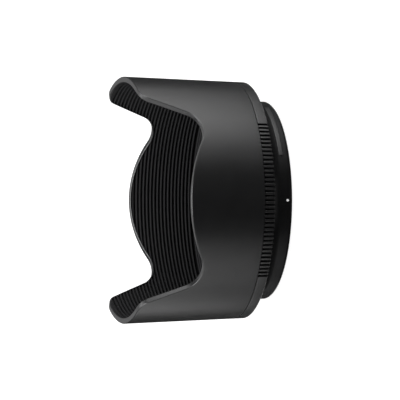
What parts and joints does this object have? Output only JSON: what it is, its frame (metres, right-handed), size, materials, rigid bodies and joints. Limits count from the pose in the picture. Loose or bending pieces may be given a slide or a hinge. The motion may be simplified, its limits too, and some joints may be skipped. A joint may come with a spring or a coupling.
{
  "type": "lens hood",
  "caption": "Round flared lens hood with scalloped petals, a ribbed inside, a slotted grip band and a bayonet collar with a click stop.",
  "frame": {"origin": "centre of the rear rim's face, on the optical axis", "axes": "+Z along the optical axis towards the subject, +X through one long petal, -Y through the short petal above the index dot"},
  "size_m": [0.1116, 0.1102, 0.0668],
  "materials": {
    "body_plastic": "fine matte texture",
    "grip_plastic": "fine matte texture",
    "collar_plastic": "satin",
    "baffle_black": "dead matte",
    "screw_steel": "blackened",
    "cover_plastic": "fine matte texture",
    "spring_steel": "bright strip",
    "pawl_plastic": "smooth acetal",
    "index_white": "paint"
  },
  "bodies": {
    "hood": {"petal_shell": "body_plastic", "grip_ring": "grip_plastic", "mount_collar": "collar_plastic", "rear_baffle_ring": "baffle_black", "shell_screws": "screw_steel", "detent_cover": "cover_plastic", "detent_spring": "spring_steel", "index_dot": "index_white"},
    "pawl": {"detent_pawl": "pawl_plastic"}
  },
  "joints": [
    {"name": "detent_travel", "type": "slide", "parent": "hood", "child": "pawl", "axis": [0.7373, -0.6756, 0], "range_m": [0, 0.0006], "stiffness_N_per_m": 2000, "springref_m": -0.0002, "deforming": ["detent_spring"]}
  ]
}
